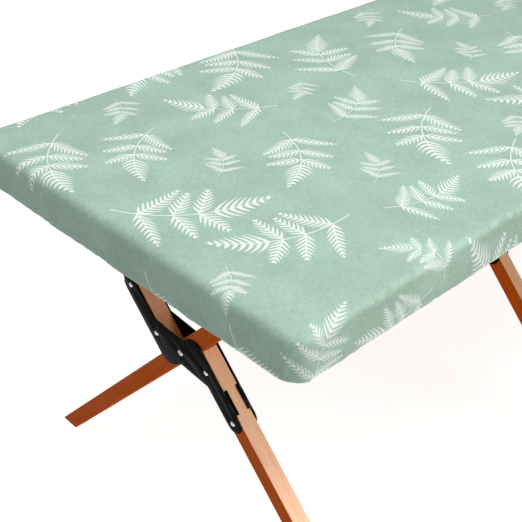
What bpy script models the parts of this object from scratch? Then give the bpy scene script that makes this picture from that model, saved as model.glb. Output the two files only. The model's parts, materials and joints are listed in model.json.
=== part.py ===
"""Fitted tablecloth over a folding camping table with a roll-up slatted top and three X frames."""

import math

import bmesh
import bpy
from mathutils import Matrix, Vector

# Driving dimensions, in metres. X runs along the table, Y across it, Z up from the floor.
TABLE_HEIGHT = 0.525        # floor to the top of the cloth
LEG_ANGLE = math.radians(47.0)   # leg bars above the floor
TOP_LENGTH = 1.200
TOP_WIDTH = 0.560
GAP = 0.0003                # between pieces that touch

# Tabletop
SLAT_COUNT = 15
SLAT_GAP = 0.0020
SLAT_THICK = 0.0120
TOP_CORNER_RADIUS = 0.0200  # in plan
TOP_EDGE_RADIUS = 0.0080    # upper edge of the slat ends
STRAP_WIDTH = 0.0200
STRAP_THICK = 0.0012
STRAP_SPREAD = 0.110        # each strap from the middle of the top
STRAP_END_MARGIN = 0.025

# Tablecloth
CLOTH_THICK = 0.0025
CLOTH_DROP = 0.0450         # top of the cloth to the hem
ELASTIC_HIGH = 0.0060
ELASTIC_THICK = 0.0010
ELASTIC_ABOVE_HEM = 0.0030
ELASTIC_SETBACK = 0.0002    # inner face of the elastic behind the inner face of the skirt

# Rails
RAIL_WIDE = 0.0240
RAIL_HIGH = 0.0180
RAIL_END_MARGIN = 0.040     # rail ends inside the ends of the top
RAIL_INSET = 0.0997         # middle line of each rail inside the long edge of the top

# X frames
FRAME_END_INSET = 0.083     # end frames inside the ends of the top
BAR_WIDE = 0.0240           # across the bar, in the plane of the X
BAR_THICK = 0.0220          # along X
BAR_EDGE_RADIUS = 0.0015
DIVIDED_OFFSET = 0.0310     # middle line of the divided bar from the pivot, square to the bar
PLATE_THICK = 0.0015
LIP_DEEP = 0.0045           # reach of the bent lip over the leg
LIP_THICK = 0.0013
LIP_NEAR = 0.062            # lip from the pivot, along the bar
LIP_LONG = 0.032
PLATE_END = 0.115           # end of the plate from the pivot, along the bar
PLATE_WAIST = 0.050         # where the slanting edge meets the straight one
LOBE_START = 0.0060         # the plate's lobe leaves the straight edge here
LOBE_REACH = 0.0120         # and reaches this far past the pivot
LOBE_STEP = 0.0060          # the slanting edge starts this far in from the lobe
RIVET_NEAR = 0.034          # rivets from the pivot, along the bar
RIVET_FAR = 0.101
RIVET_RADIUS = 0.0020
RIVET_HEAD_RADIUS = 0.0036
RIVET_HEAD_HIGH = 0.0016
PIVOT_RADIUS = 0.0030
PIVOT_HEAD_RADIUS = 0.0044
PIVOT_HEAD_HIGH = 0.0022

# Rail screws
SCREW_RADIUS = 0.0020
SCREW_HEAD_RADIUS = 0.0040
SCREW_HEAD_HIGH = 0.0025
SCREW_BITE = 0.0100         # length inside the leg top

# Facets
SIDES = 12                  # round a pin, a hole or a head
CORNER_STEPS = 6            # round a corner of the top, in plan
RIM_STEPS = 4               # over the rim of the top
BAR_EDGE_STEPS = 2
DOME_STEPS = 3
LOBE_STEPS = 4
PLATE_END_STEPS = 6
SMOOTH_BELOW = math.radians(35.0)
ROUND_ABOVE = math.radians(40.0)    # edges of a bar sharper than this are rounded

# Heights and places that follow from the sizes above
SLAT_TOP = TABLE_HEIGHT - CLOTH_THICK - GAP
SLAT_BOTTOM = SLAT_TOP - SLAT_THICK
RAIL_TOP = SLAT_BOTTOM - GAP
RAIL_BOTTOM = RAIL_TOP - RAIL_HIGH
LEG_TOP = RAIL_BOTTOM - GAP
DIVIDED_SHIFT = DIVIDED_OFFSET / math.sin(LEG_ANGLE)    # the same offset, measured level
PIVOT_Y = DIVIDED_SHIFT / 2.0                           # feet end up even about Y = 0
TOP_MIDDLE_Y = PIVOT_Y + DIVIDED_SHIFT / 2.0            # the top sits midway between the leg tops
NEAR_RAIL_Y = TOP_MIDDLE_Y - TOP_WIDTH / 2.0 + RAIL_INSET
FAR_RAIL_Y = TOP_MIDDLE_Y + TOP_WIDTH / 2.0 - RAIL_INSET
PIVOT_HEIGHT = LEG_TOP - (PIVOT_Y - NEAR_RAIL_Y) * math.tan(LEG_ANGLE)   # so that the legs meet the rails
UP_FAR = Vector((0.0, math.cos(LEG_ANGLE), math.sin(LEG_ANGLE)))      # along the divided bar, upwards
UP_NEAR = Vector((0.0, -math.cos(LEG_ANGLE), math.sin(LEG_ANGLE)))    # along the whole bar, upwards
FAR_DOWN = Vector((0.0, math.sin(LEG_ANGLE), -math.cos(LEG_ANGLE)))   # square to the divided bar
BAR_REACH = TABLE_HEIGHT / math.sin(LEG_ANGLE)    # half the length of a bar before its ends are cut
HOLE_RADIUS = RIVET_RADIUS + GAP
FRAME_SPACING = TOP_LENGTH / 2.0 - FRAME_END_INSET      # middle frame to end frame
FRAME_PLACES = {"left": -FRAME_SPACING, "middle": 0.0, "right": FRAME_SPACING}

MATERIALS = {
    "cloth_green": ((0.39, 0.60, 0.50), 0.85, 0.0),
    "elastic_white": ((0.80, 0.80, 0.76), 0.80, 0.0),
    "slat_wood": ((0.62, 0.36, 0.18), 0.55, 0.0),
    "leg_wood": ((0.47, 0.14, 0.03), 0.45, 0.0),
    "strap_webbing": ((0.06, 0.06, 0.06), 0.90, 0.0),
    "plate_black": ((0.012, 0.012, 0.013), 0.40, 1.0),
    "rivet_silver": ((0.62, 0.62, 0.60), 0.30, 1.0),
}


def clear_scene():
    for old in list(bpy.data.objects):
        bpy.data.objects.remove(old)


def make_materials():
    made = {}
    for name, (colour, roughness, metallic) in MATERIALS.items():
        material = bpy.data.materials.new(name)
        material.use_nodes = True
        shader = material.node_tree.nodes["Principled BSDF"]
        shader.inputs["Base Color"].default_value = (*colour, 1.0)
        shader.inputs["Roughness"].default_value = roughness
        shader.inputs["Metallic"].default_value = metallic
        made[name] = material
    return made


def make_collection(name):
    collection = bpy.data.collections.new(name)
    bpy.context.scene.collection.children.link(collection)
    return collection


def add_object(name, bm, collection, material=None, smooth=False):
    mesh = bpy.data.meshes.new(name)
    bmesh.ops.recalc_face_normals(bm, faces=bm.faces)
    bm.to_mesh(mesh)
    bm.free()
    if smooth:
        mesh.shade_smooth()
        mesh.set_sharp_from_angle(angle=SMOOTH_BELOW)
    item = bpy.data.objects.new(name, mesh)
    collection.objects.link(item)
    if material is not None:
        mesh.materials.append(material)
    return item


def box_bmesh(low, high):
    bm = bmesh.new()
    size = [b - a for a, b in zip(low, high)]
    middle = [(a + b) / 2.0 for a, b in zip(low, high)]
    placing = Matrix.Translation(middle) @ Matrix.Diagonal((*size, 1.0))
    bmesh.ops.create_cube(bm, size=1.0, matrix=placing)
    return bm


def cylinder_bmesh(start, axis, length, radius):
    bm = bmesh.new()
    turn = axis.to_track_quat("Z", "Y").to_matrix().to_4x4()
    placing = Matrix.Translation(Vector(start) + axis * (length / 2.0)) @ turn
    bmesh.ops.create_cone(bm, cap_ends=True, segments=SIDES, radius1=radius, radius2=radius,
                          depth=length, matrix=placing)
    return bm


def turned_bmesh(profile, start, axis):
    """A solid of revolution: profile is (distance along the axis, radius), from tip to tip."""
    bm = bmesh.new()
    turn = axis.to_track_quat("Z", "Y").to_matrix()
    rings = []
    for along, radius in profile:
        if radius == 0.0:
            rings.append([bm.verts.new(Vector(start) + axis * along)])
            continue
        ring = []
        for side in range(SIDES):
            angle = 2.0 * math.pi * side / SIDES
            local = Vector((radius * math.cos(angle), radius * math.sin(angle), along))
            ring.append(bm.verts.new(Vector(start) + turn @ local))
        rings.append(ring)
    for lower, upper in zip(rings, rings[1:]):
        for side in range(SIDES):
            after = (side + 1) % SIDES
            corners = [lower[side % len(lower)], lower[after % len(lower)],
                       upper[after % len(upper)], upper[side % len(upper)]]
            bm.faces.new(list(dict.fromkeys(corners)))
    return bm


def apply_boolean(item, cutter, operation="DIFFERENCE"):
    modifier = item.modifiers.new(cutter.name, "BOOLEAN")
    modifier.operation = operation
    modifier.solver = "EXACT"
    modifier.object = cutter
    return modifier


def add_cutter(name, bm, cutters):
    cutter = add_object(name, bm, cutters)
    cutter.hide_render = True
    cutter.display_type = "WIRE"
    return cutter


def add_bevel(item, width):
    modifier = item.modifiers.new("rounded_edges", "BEVEL")
    modifier.width = width
    modifier.segments = BAR_EDGE_STEPS
    modifier.limit_method = "ANGLE"
    modifier.angle_limit = ROUND_ABOVE


# Tabletop and cloth

def rounded_slab(length, width, top, bottom, corner_radius, edge_radius):
    """A flat block centred on the tabletop: corners rounded in plan, then its upper rim rounded."""
    bm = box_bmesh((-length / 2.0, TOP_MIDDLE_Y - width / 2.0, bottom),
                   (length / 2.0, TOP_MIDDLE_Y + width / 2.0, top))
    upright = [e for e in bm.edges if abs(e.verts[0].co.z - e.verts[1].co.z) > (top - bottom) / 2.0]
    bmesh.ops.bevel(bm, geom=upright, offset=corner_radius, segments=CORNER_STEPS, profile=0.5,
                    affect="EDGES")
    rim = [e for e in bm.edges if all(v.co.z > top - GAP for v in e.verts)]
    bmesh.ops.bevel(bm, geom=rim, offset=edge_radius, segments=RIM_STEPS, profile=0.5, affect="EDGES")
    return bm


def cut_off(bm, point, outwards):
    """Remove what lies beyond a plane and close the cut."""
    cut = bmesh.ops.bisect_plane(bm, geom=bm.verts[:] + bm.edges[:] + bm.faces[:], dist=1e-7,
                                 plane_co=point, plane_no=outwards, clear_outer=True)
    edges = [g for g in cut["geom_cut"] if isinstance(g, bmesh.types.BMEdge)]
    bmesh.ops.holes_fill(bm, edges=edges, sides=0)


def build_slats(parts, materials):
    pitch = (TOP_LENGTH + SLAT_GAP) / SLAT_COUNT
    along = Vector((1.0, 0.0, 0.0))
    for number in range(SLAT_COUNT):
        bm = rounded_slab(TOP_LENGTH, TOP_WIDTH, SLAT_TOP, SLAT_BOTTOM, TOP_CORNER_RADIUS, TOP_EDGE_RADIUS)
        start = -TOP_LENGTH / 2.0 + number * pitch
        if number > 0:
            cut_off(bm, along * start, -along)
        if number < SLAT_COUNT - 1:
            cut_off(bm, along * (start + pitch - SLAT_GAP), along)
        add_object(f"slat_{number + 1:02d}", bm, parts, materials["slat_wood"], smooth=True)


def build_straps(parts, materials):
    for name, side in (("near_strap", -1.0), ("far_strap", 1.0)):
        middle = TOP_MIDDLE_Y + side * STRAP_SPREAD
        half_length = TOP_LENGTH / 2.0 - STRAP_END_MARGIN
        top = SLAT_BOTTOM - GAP
        bm = box_bmesh((-half_length, middle - STRAP_WIDTH / 2.0, top - STRAP_THICK),
                       (half_length, middle + STRAP_WIDTH / 2.0, top))
        add_object(name, bm, parts, materials["strap_webbing"])


def cloth_outline(inset, top, bottom, edge_radius):
    """A slab with the cloth's outer outline taken in by inset."""
    grow = 2.0 * (GAP + CLOTH_THICK - inset)
    corner = TOP_CORNER_RADIUS + GAP + CLOTH_THICK - inset
    return rounded_slab(TOP_LENGTH + grow, TOP_WIDTH + grow, top, bottom, corner, edge_radius)


def ring_bmesh(outer_inset, inner_inset, bottom, top):
    """An upright band that follows the skirt, between two insets from its outer face."""
    bm = bmesh.new()
    loops = []
    for inset in (outer_inset, inner_inset):
        source = cloth_outline(inset, TABLE_HEIGHT, bottom, TOP_EDGE_RADIUS)
        ring = [v.co.copy() for v in source.verts if v.co.z < bottom + GAP]
        source.free()
        ring.sort(key=lambda p: math.atan2((p.y - TOP_MIDDLE_Y) / TOP_WIDTH, p.x / TOP_LENGTH))
        for height in (bottom, top):
            loops.append([bm.verts.new((p.x, p.y, height)) for p in ring])
    outer_low, outer_high, inner_low, inner_high = loops
    for first, second in ((outer_low, outer_high), (outer_high, inner_high),
                          (inner_high, inner_low), (inner_low, outer_low)):
        for number in range(len(first)):
            after = (number + 1) % len(first)
            bm.faces.new((first[number], first[after], second[after], second[number]))
    return bm


def build_tablecloth(parts, cutters, materials):
    hem = TABLE_HEIGHT - CLOTH_DROP
    bm = cloth_outline(0.0, TABLE_HEIGHT, hem, TOP_EDGE_RADIUS + CLOTH_THICK)
    inner = cloth_outline(CLOTH_THICK, TABLE_HEIGHT - CLOTH_THICK, hem - CLOTH_DROP, TOP_EDGE_RADIUS)
    cloth = add_object("tablecloth", bm, parts, materials["cloth_green"], smooth=True)
    apply_boolean(cloth, add_cutter("cloth_hollow", inner, cutters))
    low = hem + ELASTIC_ABOVE_HEM
    depth = ELASTIC_SETBACK + ELASTIC_THICK + GAP
    groove = ring_bmesh(CLOTH_THICK - depth, CLOTH_THICK + GAP, low - GAP, low + ELASTIC_HIGH + GAP)
    apply_boolean(cloth, add_cutter("elastic_groove", groove, cutters))
    back = CLOTH_THICK - ELASTIC_SETBACK - ELASTIC_THICK
    elastic = ring_bmesh(back, back + ELASTIC_THICK, low, low + ELASTIC_HIGH)
    add_object("hem_elastic", elastic, parts, materials["elastic_white"], smooth=True)


# Rails and screws

def screw_hole(rail_y, x, cutters, name):
    bottom = LEG_TOP - SCREW_BITE - GAP
    up = Vector((0.0, 0.0, 1.0))
    bm = cylinder_bmesh((x, rail_y, bottom), up, RAIL_TOP - bottom + RAIL_HIGH, SCREW_RADIUS + GAP)
    recess_bottom = RAIL_TOP - SCREW_HEAD_HIGH - GAP
    recess = cylinder_bmesh((x, rail_y, recess_bottom), up, RAIL_HIGH, SCREW_HEAD_RADIUS + GAP)
    shank = add_cutter(f"{name}_hole", bm, cutters)
    head = add_cutter(f"{name}_recess", recess, cutters)
    return shank, head


def build_rail(name, rail_y, parts, cutters, materials):
    half_length = TOP_LENGTH / 2.0 - RAIL_END_MARGIN
    bm = box_bmesh((-half_length, rail_y - RAIL_WIDE / 2.0, RAIL_BOTTOM),
                   (half_length, rail_y + RAIL_WIDE / 2.0, RAIL_TOP))
    rail = add_object(name, bm, parts, materials["leg_wood"], smooth=True)
    add_bevel(rail, BAR_EDGE_RADIUS)
    holes = {}
    for place, x in FRAME_PLACES.items():
        shank, head = screw_hole(rail_y, x, cutters, f"{place}_{name}")
        apply_boolean(rail, shank)
        apply_boolean(rail, head)
        holes[place] = shank
        build_screw(f"{place}_{name}_screw", x, rail_y, parts, materials)
    return holes


def build_screw(name, x, rail_y, parts, materials):
    head_top = RAIL_TOP - GAP
    head_bottom = head_top - SCREW_HEAD_HIGH + GAP
    tip = LEG_TOP - SCREW_BITE
    profile = ((tip, 0.0), (tip + SCREW_RADIUS, SCREW_RADIUS), (head_bottom, SCREW_RADIUS),
               (head_bottom, SCREW_HEAD_RADIUS), (head_top, SCREW_HEAD_RADIUS), (head_top, 0.0))
    bm = turned_bmesh(profile, (x, rail_y, 0.0), Vector((0.0, 0.0, 1.0)))
    add_object(name, bm, parts, materials["rivet_silver"], smooth=True)


# X frames

def pivot_point(x):
    return Vector((x, PIVOT_Y, PIVOT_HEIGHT))


def bar_bmesh(middle, direction):
    """A long bar through a point, before its ends are cut."""
    half = Vector((BAR_THICK / 2.0, BAR_WIDE / 2.0, BAR_REACH))
    bm = box_bmesh(-half, half)
    lean = math.atan2(-direction.y, direction.z)
    bm.transform(Matrix.Translation(middle) @ Matrix.Rotation(lean, 4, "X"))
    return bm


def finish_bar(name, bm, holes, parts, materials):
    bar = add_object(name, bm, parts, materials["leg_wood"], smooth=True)
    add_bevel(bar, BAR_EDGE_RADIUS)
    for hole in holes:
        apply_boolean(bar, hole)
    return bar


def pin_hole(name, point, radius, cutters):
    reach = BAR_THICK
    start = point - Vector((reach, 0.0, 0.0))
    bm = cylinder_bmesh(start, Vector((1.0, 0.0, 0.0)), 2.0 * reach, radius)
    return add_cutter(name, bm, cutters)


def build_whole_bar(place, x, pivot_hole, rail_hole, parts, materials):
    """The one-piece leg: foot on the far side, top under the near rail."""
    down = Vector((0.0, 0.0, -1.0))
    bm = bar_bmesh(pivot_point(x), UP_NEAR)
    cut_off(bm, Vector((x, 0.0, 0.0)), down)
    cut_off(bm, Vector((x, 0.0, LEG_TOP)), -down)
    finish_bar(f"{place}_whole_leg", bm, (pivot_hole, rail_hole), parts, materials)


def build_divided_bar(place, x, holes, rail_hole, parts, materials):
    """The two-piece leg: each half stops against the whole leg, one on either side of the pivot."""
    down = Vector((0.0, 0.0, -1.0))
    side_of_whole = Vector((0.0, math.sin(LEG_ANGLE), math.cos(LEG_ANGLE)))   # square to the whole leg
    stop = side_of_whole * (BAR_WIDE / 2.0 + GAP)
    lower = bar_bmesh(pivot_point(x) - FAR_DOWN * DIVIDED_OFFSET, UP_FAR)
    cut_off(lower, Vector((x, 0.0, 0.0)), down)
    cut_off(lower, pivot_point(x) - stop, side_of_whole)
    finish_bar(f"{place}_lower_leg", lower, (holes["low_far"], holes["low_near"]), parts, materials)
    upper = bar_bmesh(pivot_point(x) + FAR_DOWN * DIVIDED_OFFSET, UP_FAR)
    cut_off(upper, pivot_point(x) + stop, -side_of_whole)
    cut_off(upper, Vector((x, 0.0, LEG_TOP)), -down)
    upper_holes = (holes["up_near"], holes["up_far"], rail_hole)
    finish_bar(f"{place}_upper_leg", upper, upper_holes, parts, materials)


def plate_outline():
    """The S-shaped outline as (along the bar, square to it): one half, then its twin turned half round."""
    near_edge = -(DIVIDED_OFFSET + BAR_WIDE / 2.0 + GAP + PLATE_THICK)
    inner_edge = -(DIVIDED_OFFSET - BAR_WIDE / 2.0)
    end_radius = (inner_edge - near_edge) / 2.0
    end_middle = (-PLATE_END + end_radius, inner_edge - end_radius)
    half = [(LOBE_REACH + PLATE_THICK, inner_edge + LOBE_STEP)]
    for step in range(LOBE_STEPS + 1):          # round lobe beside the pivot
        angle = -math.pi / 2.0 * step / LOBE_STEPS
        along = -LOBE_START + (LOBE_REACH + LOBE_START) * math.cos(angle)
        half.append((along, inner_edge + (inner_edge - near_edge) * math.sin(angle)))
    for step in range(PLATE_END_STEPS + 1):     # round end
        angle = -math.pi / 2.0 - math.pi * step / PLATE_END_STEPS
        along = end_middle[0] + end_radius * math.cos(angle)
        half.append((along, end_middle[1] + end_radius * math.sin(angle)))
    half.append((-PLATE_WAIST, inner_edge))
    return half + [(-along, -square) for along, square in half]


def plate_bmesh(x_low, pivot):
    """The flat of a plate, one thickness of steel standing square to X."""
    bm = bmesh.new()
    corners = [pivot + UP_FAR * along + FAR_DOWN * square for along, square in plate_outline()]
    verts = [bm.verts.new((x_low, corner.y, corner.z)) for corner in corners]
    face = bm.faces.new(verts)
    raised = bmesh.ops.extrude_face_region(bm, geom=[face])
    moved = [g for g in raised["geom"] if isinstance(g, bmesh.types.BMVert)]
    bmesh.ops.translate(bm, verts=moved, vec=(PLATE_THICK, 0.0, 0.0))
    return bm


def lip_bmesh(pivot, side, upper):
    """A small bent lip that lies over a divided leg, rooted inside the plate's thickness."""
    inside = BAR_THICK / 2.0 + GAP
    low_x, high_x = sorted((side * (inside + PLATE_THICK / 2.0), side * (inside - LIP_DEEP)))
    near_edge = DIVIDED_OFFSET + BAR_WIDE / 2.0 + GAP
    bm = box_bmesh((low_x, near_edge, LIP_NEAR), (high_x, near_edge + LIP_THICK, LIP_NEAR + LIP_LONG))
    turn = 1.0 if upper else -1.0
    for vert in bm.verts:
        place = pivot + UP_FAR * (turn * vert.co.z) + FAR_DOWN * (turn * vert.co.y)
        vert.co = Vector((pivot.x + vert.co.x, place.y, place.z))
    return bm


def build_plate(name, x, side, holes, parts, cutters, materials):
    pivot = pivot_point(x)
    inside = BAR_THICK / 2.0 + GAP
    low = inside if side > 0.0 else -(inside + PLATE_THICK)
    plate = add_object(name, plate_bmesh(x + low, pivot), parts, materials["plate_black"], smooth=True)
    for half, upper in (("lower", False), ("upper", True)):
        lip = add_cutter(f"{name}_{half}_lip", lip_bmesh(pivot, side, upper), cutters)
        apply_boolean(plate, lip, "UNION")
    for hole in holes:
        apply_boolean(plate, hole)


def pin_profile(radius, head_radius, head_high):
    """Shank and two domed heads, from one outer tip to the other, measured from the middle."""
    face = BAR_THICK / 2.0 + 2.0 * GAP + PLATE_THICK
    dome = []
    for step in range(DOME_STEPS + 1):
        angle = math.pi / 2.0 * (1.0 - step / DOME_STEPS)
        dome.append((face + head_high * math.sin(angle), head_radius * math.cos(angle)))
    dome[0] = (face + head_high, 0.0)
    left = [(-along, width) for along, width in dome]
    return left + [(-face, radius), (face, radius)] + dome[::-1]


def build_pin(name, point, sizes, parts, materials):
    bm = turned_bmesh(pin_profile(*sizes), point, Vector((1.0, 0.0, 0.0)))
    add_object(name, bm, parts, materials["rivet_silver"], smooth=True)


def build_frame(place, x, near_rail_hole, far_rail_hole, parts, cutters, materials):
    pivot = pivot_point(x)
    rivets = {
        "low_near": pivot - UP_FAR * RIVET_NEAR - FAR_DOWN * DIVIDED_OFFSET,
        "low_far": pivot - UP_FAR * RIVET_FAR - FAR_DOWN * DIVIDED_OFFSET,
        "up_near": pivot + UP_FAR * RIVET_NEAR + FAR_DOWN * DIVIDED_OFFSET,
        "up_far": pivot + UP_FAR * RIVET_FAR + FAR_DOWN * DIVIDED_OFFSET,
    }
    holes = {}
    for key, point in rivets.items():
        holes[key] = pin_hole(f"{place}_{key}_hole", point, HOLE_RADIUS, cutters)
    pivot_hole = pin_hole(f"{place}_pivot_hole", pivot, PIVOT_RADIUS + GAP, cutters)
    build_whole_bar(place, x, pivot_hole, near_rail_hole, parts, materials)
    build_divided_bar(place, x, holes, far_rail_hole, parts, materials)
    plate_holes = [pivot_hole, *holes.values()]
    outer_side = 1.0 if x > 0.0 else -1.0
    build_plate(f"{place}_outer_plate", x, outer_side, plate_holes, parts, cutters, materials)
    build_plate(f"{place}_inner_plate", x, -outer_side, plate_holes, parts, cutters, materials)
    rivet_sizes = (RIVET_RADIUS, RIVET_HEAD_RADIUS, RIVET_HEAD_HIGH)
    for key, point in rivets.items():
        build_pin(f"{place}_{key}_rivet", point, rivet_sizes, parts, materials)
    pivot_sizes = (PIVOT_RADIUS, PIVOT_HEAD_RADIUS, PIVOT_HEAD_HIGH)
    build_pin(f"{place}_pivot_bolt", pivot, pivot_sizes, parts, materials)


def main():
    clear_scene()
    materials = make_materials()
    parts = make_collection("tablecloth_on_table")
    cutters = make_collection("cutters")
    build_slats(parts, materials)
    build_straps(parts, materials)
    build_tablecloth(parts, cutters, materials)
    near_holes = build_rail("near_rail", NEAR_RAIL_Y, parts, cutters, materials)
    far_holes = build_rail("far_rail", FAR_RAIL_Y, parts, cutters, materials)
    for place, x in FRAME_PLACES.items():
        build_frame(place, x, near_holes[place], far_holes[place], parts, cutters, materials)


main()
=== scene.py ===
import json
import math

import bmesh
import bpy
import numpy as np
from mathutils import Matrix, Quaternion, Vector, bvhtree, noise

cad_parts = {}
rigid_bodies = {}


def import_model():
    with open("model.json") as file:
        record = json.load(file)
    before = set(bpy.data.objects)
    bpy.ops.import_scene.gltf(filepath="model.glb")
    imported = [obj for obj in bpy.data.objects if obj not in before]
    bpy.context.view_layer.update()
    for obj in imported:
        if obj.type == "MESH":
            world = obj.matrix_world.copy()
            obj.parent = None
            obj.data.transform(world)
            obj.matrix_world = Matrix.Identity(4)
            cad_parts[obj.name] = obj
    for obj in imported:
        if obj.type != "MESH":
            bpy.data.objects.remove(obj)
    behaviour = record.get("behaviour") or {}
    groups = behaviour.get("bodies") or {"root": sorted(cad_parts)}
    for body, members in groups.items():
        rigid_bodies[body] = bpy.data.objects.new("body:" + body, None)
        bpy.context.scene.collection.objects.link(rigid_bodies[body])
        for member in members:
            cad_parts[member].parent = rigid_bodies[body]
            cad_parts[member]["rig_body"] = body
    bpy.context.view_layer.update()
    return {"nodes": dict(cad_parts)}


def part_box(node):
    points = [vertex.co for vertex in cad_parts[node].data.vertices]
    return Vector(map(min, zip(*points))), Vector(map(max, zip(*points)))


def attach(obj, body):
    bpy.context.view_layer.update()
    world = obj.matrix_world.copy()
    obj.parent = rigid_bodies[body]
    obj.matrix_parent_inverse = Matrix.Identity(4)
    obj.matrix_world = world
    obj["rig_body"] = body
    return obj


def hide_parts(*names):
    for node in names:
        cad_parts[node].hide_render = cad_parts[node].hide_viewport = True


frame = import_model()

cadNodes = frame["nodes"]
print("frame loaded:", len(cadNodes), "nodes")


view = {
    "place": (-1.0647, -0.6738, 1.0355),
    "target": (-0.5355, -0.1225, 0.5250),
    "lens": 64.67,
    "roll": 0.2,
}

stage = {
    "floorSize": 9.0,
    "floorColour": (0.46, 0.46, 0.46),
    "floorGlow": 0.86,        # as seen
    "floorBounce": 0.52,      # as it lights the table from below
    "world": 0.06,
    # place, target, size, watts, colour
    "lamps": (
        ("overhead", (-0.4, -0.3, 3.0), (-0.1, 0.0, 0.5), 2.4, 78.0, (1.0, 1.0, 1.0)),
        ("nearRight", (0.3, -2.3, 1.25), (-0.2, 0.0, 0.45), 1.1, 16.0, (1.0, 0.975, 0.84)),
    ),
    # place, target, opening in degrees, watts, colour
    "legSpot": ((-0.10, -1.50, 0.90), (-0.51, -0.40, 0.04), 30.0, 96.0, (1.0, 0.98, 0.95)),
}


def aimed(item, place, target):
    item.location = place
    item.rotation_mode = "QUATERNION"
    item.rotation_quaternion = (Vector(target) - Vector(place)).to_track_quat("-Z", "Y")
    bpy.context.scene.collection.objects.link(item)


def makeCamera():
    data = bpy.data.cameras.new("viewCamera")
    data.lens = view["lens"]
    data.clip_start = 0.01
    camera = bpy.data.objects.new("viewCamera", data)
    aimed(camera, view["place"], view["target"])
    camera.rotation_quaternion @= Quaternion((0.0, 0.0, 1.0), math.radians(view["roll"]))
    bpy.context.scene.camera = camera


def makeLamps():
    for name, place, target, size, watts, colour in stage["lamps"]:
        data = bpy.data.lights.new(name, "AREA")
        data.shape = "DISK"
        data.size = size
        data.energy = watts
        data.color = colour
        aimed(bpy.data.objects.new(name, data), place, target)
    place, target, turn, watts, colour = stage["legSpot"]
    data = bpy.data.lights.new("legSpot", "SPOT")
    data.spot_size = math.radians(turn)
    data.spot_blend = 0.8
    data.shadow_soft_size = 0.25
    data.energy = watts
    data.color = colour
    aimed(bpy.data.objects.new("legSpot", data), place, target)
    world = bpy.data.worlds.new("studio")
    world.use_nodes = True
    back = world.node_tree.nodes["Background"]
    back.inputs["Color"].default_value = (1.0, 1.0, 1.0, 1.0)
    back.inputs["Strength"].default_value = stage["world"]
    bpy.context.scene.world = world
    bpy.context.scene.view_settings.view_transform = "Standard"


def makeFloor():
    bm = bmesh.new()
    bmesh.ops.create_grid(bm, x_segments=4, y_segments=4, size=stage["floorSize"])
    floor = meshPiece("studioFloor", bm)
    material, tree, shader = newMaterial("floorPaint", 0.75)
    shader.inputs["Base Color"].default_value = (*stage["floorColour"], 1.0)
    shader.inputs["Emission Color"].default_value = (1.0, 1.0, 1.0, 1.0)
    seen = Field(tree, tree.nodes.new("ShaderNodeLightPath").outputs["Is Camera Ray"])
    glow = seen.ramp(0.0, 1.0, stage["floorBounce"], stage["floorGlow"])
    tree.links.new(glow.socket, shader.inputs["Emission Strength"])
    floor.data.materials.append(material)


def meshPiece(name, bm, smooth=False):
    mesh = bpy.data.meshes.new(name)
    bm.to_mesh(mesh)
    bm.free()
    if smooth:
        mesh.shade_smooth()
    piece = bpy.data.objects.new(name, mesh)
    bpy.context.scene.collection.objects.link(piece)
    return piece


def bridge(bm, first, second):
    # faces between two rings; a ring of one point is a tip, and a repeated point makes a triangle
    count = max(len(first), len(second))
    for place in range(count):
        after = (place + 1) % count
        corners = (first[place % len(first)], second[place % len(second)],
                   second[after % len(second)], first[after % len(first)])
        bm.faces.new(list(dict.fromkeys(corners)))


def valuesOf(items, name, width, kind=np.float32):
    # one number, or a row of numbers, for each part of a mesh
    values = np.zeros(len(items) * width, kind)
    items.foreach_get(name, values)
    return values if width == 1 else values.reshape(-1, width)


def placesOf(mesh):
    return valuesOf(mesh.vertices, "co", 3).astype(float)


def normalsOf(mesh):
    return valuesOf(mesh.vertex_normals, "vector", 3).astype(float)


def movePlaces(mesh, places):
    mesh.vertices.foreach_set("co", places.astype(np.float32).ravel())
    mesh.update()


def addMap(mesh, name, values):
    layer = mesh.uv_layers.new(name=name, do_init=False)
    layer.uv.foreach_set("vector", values.astype(np.float32).ravel())


def newMaterial(name, roughness, metallic=0.0):
    material = bpy.data.materials.new(name)
    material.use_nodes = True
    shader = material.node_tree.nodes["Principled BSDF"]
    shader.inputs["Roughness"].default_value = roughness
    shader.inputs["Metallic"].default_value = metallic
    return material, material.node_tree, shader


def plug(tree, item, socket):
    # item is a Field, a node's output, or a plain number or colour
    if isinstance(item, Field):
        tree.links.new(item.socket, socket)
    elif hasattr(item, "is_output"):
        tree.links.new(item, socket)
    else:
        socket.default_value = item


class Field:
    # a number that varies over the surface; each step on it makes one Math node

    def __init__(self, tree, socket):
        self.tree = tree
        self.socket = socket

    def step(self, operation, *others):
        node = self.tree.nodes.new("ShaderNodeMath")
        node.operation = operation
        for place, item in enumerate((self, *others)):
            plug(self.tree, item, node.inputs[place])
        return Field(self.tree, node.outputs[0])

    def __add__(self, other):
        return self.step("ADD", other)

    def __sub__(self, other):
        return self.step("SUBTRACT", other)

    def __mul__(self, other):
        return self.step("MULTIPLY", other)

    def __truediv__(self, other):
        return self.step("DIVIDE", other)

    def __pow__(self, other):
        return self.step("POWER", other)

    def __abs__(self):
        return self.step("ABSOLUTE")

    def over(self, other):
        return self.step("GREATER_THAN", other)

    def under(self, other):
        return self.step("LESS_THAN", other)

    def largest(self, other):
        return self.step("MAXIMUM", other)

    def smallest(self, other):
        return self.step("MINIMUM", other)

    def opposite(self):
        return self * -1.0 + 1.0

    def ramp(self, low, high, toLow=0.0, toHigh=1.0):
        node = self.tree.nodes.new("ShaderNodeMapRange")
        node.interpolation_type = "SMOOTHSTEP"
        for place, item in enumerate((self, low, high, toLow, toHigh)):
            plug(self.tree, item, node.inputs[place])
        return Field(self.tree, node.outputs[0])


def between(share, low, high):
    return share * (high - low) + low


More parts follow.
